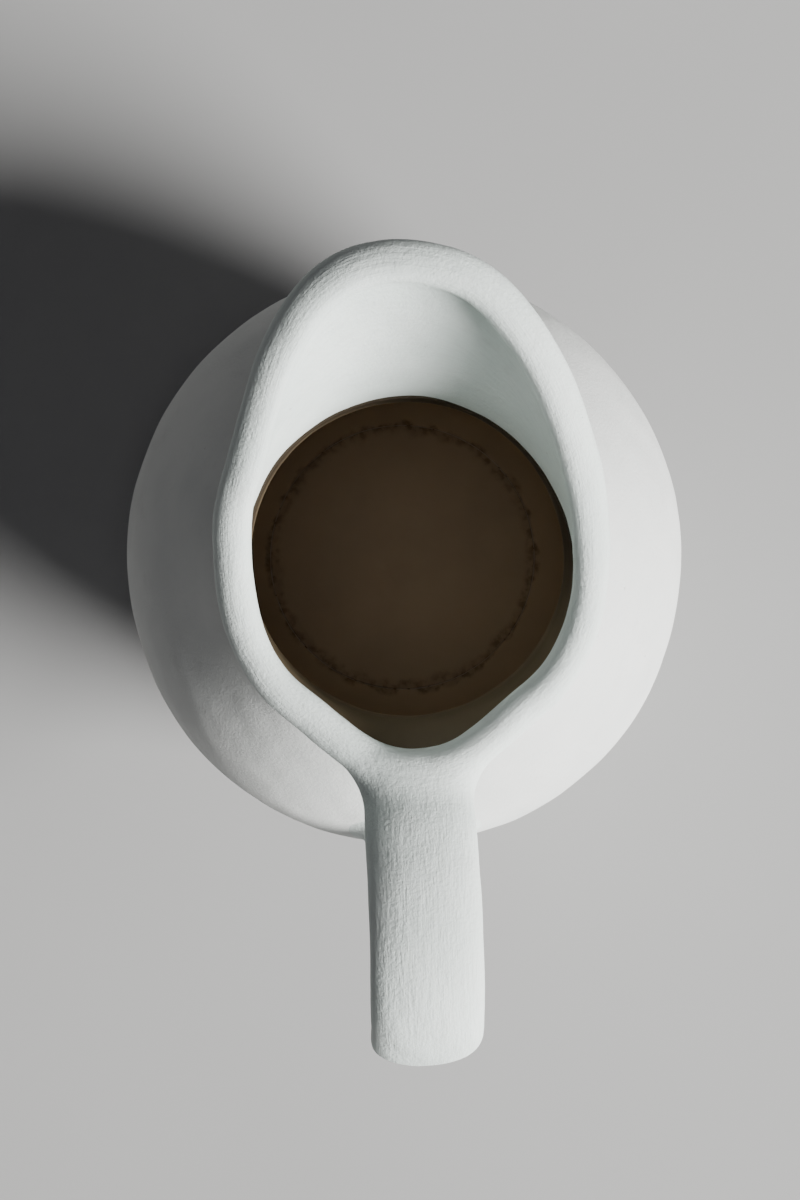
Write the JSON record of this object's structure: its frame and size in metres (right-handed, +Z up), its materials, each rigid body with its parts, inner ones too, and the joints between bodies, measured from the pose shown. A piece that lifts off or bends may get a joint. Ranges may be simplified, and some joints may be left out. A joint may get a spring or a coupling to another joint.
{
  "type": "ceramic pitcher",
  "caption": "Round-bellied ceramic pitcher with a narrow throat, a wide upswept pouring lip, a rolled rim and a strap handle, glazed brown inside.",
  "frame": {"origin": "centre of the foot ring on the plane that the pitcher stands on", "axes": "+Z up, +Y towards the tip of the pouring lip, -Y towards the handle; the pitcher is the same on both sides of the YZ plane"},
  "size_m": [0.1604, 0.2061, 0.212],
  "materials": {
    "bare_clay": "unglazed, slightly rough fired clay",
    "body_slip": "smooth matte white slip with faint brush marks",
    "brushed_slip": "matte cool white slip with brush strokes along the rim and strap",
    "brown_glaze": "satin dark brown glaze"
  },
  "bodies": {
    "root": {"foot_ring": "bare_clay", "floor_disc": "bare_clay", "lower_bowl": "body_slip", "shoulder": "body_slip", "neck_collar": "body_slip", "spout_lip": "brushed_slip", "rim_roll": "brushed_slip", "handle_root": "brushed_slip", "handle_strap": "brushed_slip", "handle_pad": "brushed_slip", "wall_glaze": "brown_glaze", "floor_glaze": "brown_glaze"}
  },
  "joints": []
}
